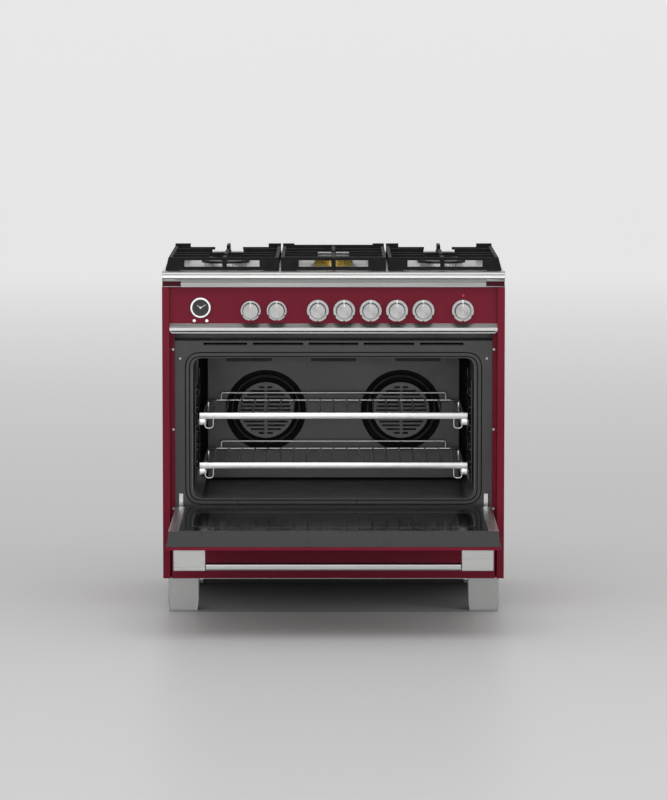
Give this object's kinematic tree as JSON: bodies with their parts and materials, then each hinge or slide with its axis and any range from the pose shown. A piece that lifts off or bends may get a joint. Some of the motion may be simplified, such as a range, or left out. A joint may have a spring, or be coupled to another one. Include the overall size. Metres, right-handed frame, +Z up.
{
  "type": "freestanding gas range",
  "caption": "Wide freestanding cooker with gas burners under cast pan supports, a row of steel knobs and one drop-down-door fan oven with wire racks.",
  "frame": {"origin": "on the floor under the middle of the box that the range fills with its door open", "axes": "+Z up, -Y out of the front, +X to the right of someone facing the range's front"},
  "size_m": [0.898, 1.073, 0.942],
  "materials": {
    "red": "gloss enamel paint",
    "stainless": "brushed",
    "enamel": "satin vitreous enamel",
    "cavity_enamel": "speckled vitreous enamel",
    "cast_iron": "matt enamelled iron",
    "cap_enamel": "matt black enamel",
    "chrome": "polished",
    "rack_wire": "bright plated wire",
    "brass": "satin",
    "aluminium": "cast",
    "glass": "dark tinted",
    "galvanised": "galvanised sheet",
    "seal": "braided",
    "wool": "mineral wool",
    "black_plastic": "moulded",
    "dial": "printed dial",
    "red_lens": "clear red",
    "knob_steel": "spun",
    "element": "oxidised sheath"
  },
  "bodies": {
    "chassis": {"back_panel": "galvanised", "base_tray": "galvanised", "burner_caps": "cap_enamel", "burner_crowns": "aluminium", "burner_gas_feed": "aluminium", "centre_burner_crown": "brass", "clock_bezel": "chrome", "clock_dial": "dial", "control_ledge": "stainless", "control_panel": "red", "control_switches": "black_plastic", "door_seal": "seal", "fan_baffle": "cavity_enamel", "fan_motors": "galvanised", "frame_screws": "stainless", "front_legs": "stainless", "gas_inlet": "brass", "gas_manifold": "aluminium", "heating_elements": "element", "hinge_receivers": "stainless", "hob_top": "stainless", "indicator_lamp": "red_lens", "kick_panel": "red", "oven_cavity": "cavity_enamel", "oven_front_frame": "enamel", "oven_insulation": "wool", "panel_trim_strip": "stainless", "rear_feet": "galvanised", "rear_vent_strip": "stainless", "side_ladders": "rack_wire", "side_panel_left": "red", "side_panel_right": "red", "terminal_box": "black_plastic"},
    "oven_door": {"door_core": "enamel", "door_side_channels": "stainless", "door_glass_panes": "glass", "door_outer_panel": "red", "door_handle": "stainless", "door_hinge_lugs": "stainless"},
    "fan_impeller_right_body": {"fan_impeller_right": "stainless"},
    "fan_impeller_left_body": {"fan_impeller_left": "stainless"},
    "upper_rack_body": {"upper_rack": "rack_wire"},
    "lower_rack_body": {"lower_rack": "rack_wire"},
    "upper_slide_middle_body": {"upper_slide_middle": "stainless"},
    "lower_slide_middle_body": {"lower_slide_middle": "stainless"},
    "clock_hour_hand_body": {"clock_hour_hand": "chrome"},
    "clock_minute_hand_body": {"clock_minute_hand": "chrome"},
    "clock_button_left_body": {"clock_button_left": "chrome"},
    "clock_button_right_body": {"clock_button_right": "chrome"},
    "grate_left_body": {"grate_left": "cast_iron"},
    "grate_right_body": {"grate_right": "cast_iron"},
    "grate_centre_body": {"grate_centre": "cast_iron"},
    "oven_function_knob_body": {"oven_function_knob": "knob_steel"},
    "oven_temperature_knob_body": {"oven_temperature_knob": "knob_steel"},
    "grill_knob_body": {"grill_knob": "knob_steel"},
    "gas_knob_1_body": {"gas_knob_1": "knob_steel"},
    "gas_knob_2_body": {"gas_knob_2": "knob_steel"},
    "gas_knob_3_body": {"gas_knob_3": "knob_steel"},
    "gas_knob_4_body": {"gas_knob_4": "knob_steel"},
    "gas_knob_5_body": {"gas_knob_5": "knob_steel"}
  },
  "joints": [
    {"name": "door_hinge", "type": "hinge", "parent": "chassis", "child": "oven_door", "pos_m": [0, -0.0555, 0.253], "axis": [1, 0, 0], "range_deg": [-90, 0]},
    {"name": "upper_rack_slide", "type": "slide", "parent": "chassis", "child": "upper_rack_body", "axis": [0, -1, 0], "range_m": [0, 0.3]},
    {"name": "lower_rack_slide", "type": "slide", "parent": "chassis", "child": "lower_rack_body", "axis": [0, -1, 0], "range_m": [0, 0.3]},
    {"name": "upper_runner_slide", "type": "slide", "parent": "chassis", "child": "upper_slide_middle_body", "axis": [0, -1, 0], "range_m": [0, 0.15]},
    {"name": "lower_runner_slide", "type": "slide", "parent": "chassis", "child": "lower_slide_middle_body", "axis": [0, -1, 0], "range_m": [0, 0.15]},
    {"name": "left_fan_spin", "type": "hinge", "parent": "chassis", "child": "fan_impeller_left_body", "pos_m": [-0.1855, 0.4, 0.48702], "axis": [0, 1, 0], "continuous": true},
    {"name": "right_fan_spin", "type": "hinge", "parent": "chassis", "child": "fan_impeller_right_body", "pos_m": [0.1855, 0.4, 0.48702], "axis": [0, 1, 0], "continuous": true},
    {"name": "gas_knob_1_turn", "type": "hinge", "parent": "chassis", "child": "gas_knob_1_body", "pos_m": [-0.041, -0.0785, 0.7975], "axis": [0, -1, 0], "range_deg": [0, 210]},
    {"name": "gas_knob_2_turn", "type": "hinge", "parent": "chassis", "child": "gas_knob_2_body", "pos_m": [0.02814, -0.0785, 0.7975], "axis": [0, -1, 0], "range_deg": [0, 210]},
    {"name": "gas_knob_3_turn", "type": "hinge", "parent": "chassis", "child": "gas_knob_3_body", "pos_m": [0.09729, -0.0785, 0.7975], "axis": [0, -1, 0], "range_deg": [0, 210]},
    {"name": "gas_knob_4_turn", "type": "hinge", "parent": "chassis", "child": "gas_knob_4_body", "pos_m": [0.16643, -0.0785, 0.7975], "axis": [0, -1, 0], "range_deg": [0, 210]},
    {"name": "gas_knob_5_turn", "type": "hinge", "parent": "chassis", "child": "gas_knob_5_body", "pos_m": [0.23558, -0.0785, 0.7975], "axis": [0, -1, 0], "range_deg": [0, 210]},
    {"name": "oven_function_knob_turn", "type": "hinge", "parent": "chassis", "child": "oven_function_knob_body", "pos_m": [-0.217, -0.0785, 0.7975], "axis": [0, 1, 0], "range_deg": [0, 270]},
    {"name": "oven_temperature_knob_turn", "type": "hinge", "parent": "chassis", "child": "oven_temperature_knob_body", "pos_m": [-0.149, -0.0785, 0.7975], "axis": [0, 1, 0], "range_deg": [0, 300]},
    {"name": "grill_knob_turn", "type": "hinge", "parent": "chassis", "child": "grill_knob_body", "pos_m": [0.339, -0.0785, 0.7975], "axis": [0, 1, 0], "range_deg": [0, 270]},
    {"name": "minute_hand_spin", "type": "hinge", "parent": "chassis", "child": "clock_minute_hand_body", "pos_m": [-0.34851, -0.0785, 0.805], "axis": [0, 1, 0], "continuous": true},
    {"name": "hour_hand_spin", "type": "hinge", "parent": "chassis", "child": "clock_hour_hand_body", "pos_m": [-0.34851, -0.0785, 0.805], "axis": [0, 1, 0], "continuous": true},
    {"name": "clock_button_left_press", "type": "slide", "parent": "chassis", "child": "clock_button_left_body", "axis": [0, 1, 0], "range_m": [0, 0.0015], "stiffness_N_per_m": 300},
    {"name": "clock_button_right_press", "type": "slide", "parent": "chassis", "child": "clock_button_right_body", "axis": [0, 1, 0], "range_m": [0, 0.0015], "stiffness_N_per_m": 300},
    {"name": "grate_left_lift", "type": "slide", "parent": "chassis", "child": "grate_left_body", "axis": [0, 0, 1], "range_m": [0, 0.06]},
    {"name": "grate_centre_lift", "type": "slide", "parent": "chassis", "child": "grate_centre_body", "axis": [0, 0, 1], "range_m": [0, 0.06]},
    {"name": "grate_right_lift", "type": "slide", "parent": "chassis", "child": "grate_right_body", "axis": [0, 0, 1], "range_m": [0, 0.06]}
  ],
  "couplings": [
    {"joint": "upper_runner_slide", "follows": "upper_rack_slide", "ratio": 0.5},
    {"joint": "lower_runner_slide", "follows": "lower_rack_slide", "ratio": 0.5},
    {"joint": "hour_hand_spin", "follows": "minute_hand_spin", "ratio": 0.083333}
  ]
}
